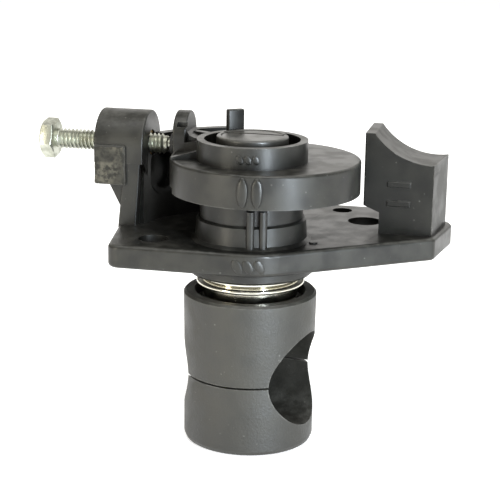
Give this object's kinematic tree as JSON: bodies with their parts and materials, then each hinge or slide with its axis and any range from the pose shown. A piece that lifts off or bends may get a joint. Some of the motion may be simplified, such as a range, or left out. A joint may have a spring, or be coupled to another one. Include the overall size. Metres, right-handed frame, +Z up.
{
  "type": "umbrella swivel bracket",
  "caption": "Swivel bracket with a split round tube clamp below, a plate with an upright saddle, an eccentric stop disc and a hex stop screw",
  "frame": {"origin": "centre of the tube bore, on the swivel axis", "axes": "+X along the tube bore, +Z up the swivel axis, from the clamp to the plate"},
  "size_m": [0.1217, 0.0857, 0.0996],
  "materials": {
    "black_nylon": "satin moulded glass-filled nylon",
    "black_cap": "satin moulded plastic",
    "insert_brass": "knurled, turned",
    "zinc_steel": "zinc plated",
    "dark_steel": "oiled spring steel",
    "bright_chrome": "polished plating",
    "acetal": "natural acetal",
    "pad_rubber": "dull black"
  },
  "bodies": {
    "clamp": {"upper_jaw": "black_nylon", "jaw_inserts": "insert_brass", "spindle": "zinc_steel", "thrust_washer": "acetal", "rotor_washer": "dark_steel", "rotor": "black_nylon", "disc_springs": "dark_steel"},
    "plate": {"base_plate": "black_nylon", "saddle": "black_nylon", "saddle_screws": "zinc_steel", "flange_ring": "bright_chrome", "hub_bush": "acetal", "screw_insert": "insert_brass"},
    "lower_jaw": {"lower_jaw": "black_nylon", "clamp_washers": "zinc_steel"},
    "front_screw": {"clamp_screw_front": "zinc_steel"},
    "rear_screw": {"clamp_screw_rear": "zinc_steel"},
    "stop_tip": {"stop_pad": "pad_rubber"},
    "stop_bolt": {"stop_screw": "zinc_steel"},
    "tension_washer": {"pressure_washer": "dark_steel"},
    "tension_cap": {"tension_nut": "black_cap"},
    "key": {"index_key": "black_cap"}
  },
  "joints": [
    {"name": "plate_swivel", "type": "hinge", "parent": "clamp", "child": "plate", "pos_m": [0, 0, 0.0414], "axis": [0, 0, 1], "range_deg": [0, 90]},
    {"name": "jaw_open", "type": "slide", "parent": "clamp", "child": "lower_jaw", "axis": [0, 0, -1], "range_m": [0, 0.003]},
    {"name": "front_screw_turn", "type": "hinge", "parent": "lower_jaw", "child": "front_screw", "pos_m": [0, -0.01675, -0.0149], "axis": [0, 0, -1], "range_deg": [0, 2401]},
    {"name": "rear_screw_turn", "type": "hinge", "parent": "lower_jaw", "child": "rear_screw", "pos_m": [0, 0.01675, -0.0149], "axis": [0, 0, -1], "range_deg": [0, 2401]},
    {"name": "stop_advance", "type": "slide", "parent": "plate", "child": "stop_tip", "axis": [-0.9703, -0.2419, 0], "range_m": [0, 0.005]},
    {"name": "stop_turn", "type": "hinge", "parent": "stop_tip", "child": "stop_bolt", "pos_m": [-0.03262, 0.00681, 0.0656], "axis": [-0.9703, -0.2419, 0], "range_deg": [0, 1418]},
    {"name": "tension_lift", "type": "slide", "parent": "clamp", "child": "tension_washer", "axis": [0, 0, 1], "range_m": [0, 0.0015]},
    {"name": "tension_turn", "type": "hinge", "parent": "tension_washer", "child": "tension_cap", "pos_m": [0, 0, 0.07], "axis": [0, 0, 1], "range_deg": [0, 433]},
    {"name": "key_lift", "type": "slide", "parent": "clamp", "child": "key", "axis": [0, 0, 1], "range_m": [0, 0.005]}
  ],
  "couplings": [
    {"joint": "front_screw_turn", "follows": "jaw_open", "rad_per_m": 13963},
    {"joint": "rear_screw_turn", "follows": "jaw_open", "rad_per_m": 13963},
    {"joint": "stop_turn", "follows": "stop_advance", "rad_per_m": 4947.4},
    {"joint": "tension_turn", "follows": "tension_lift", "rad_per_m": 5026.5}
  ]
}
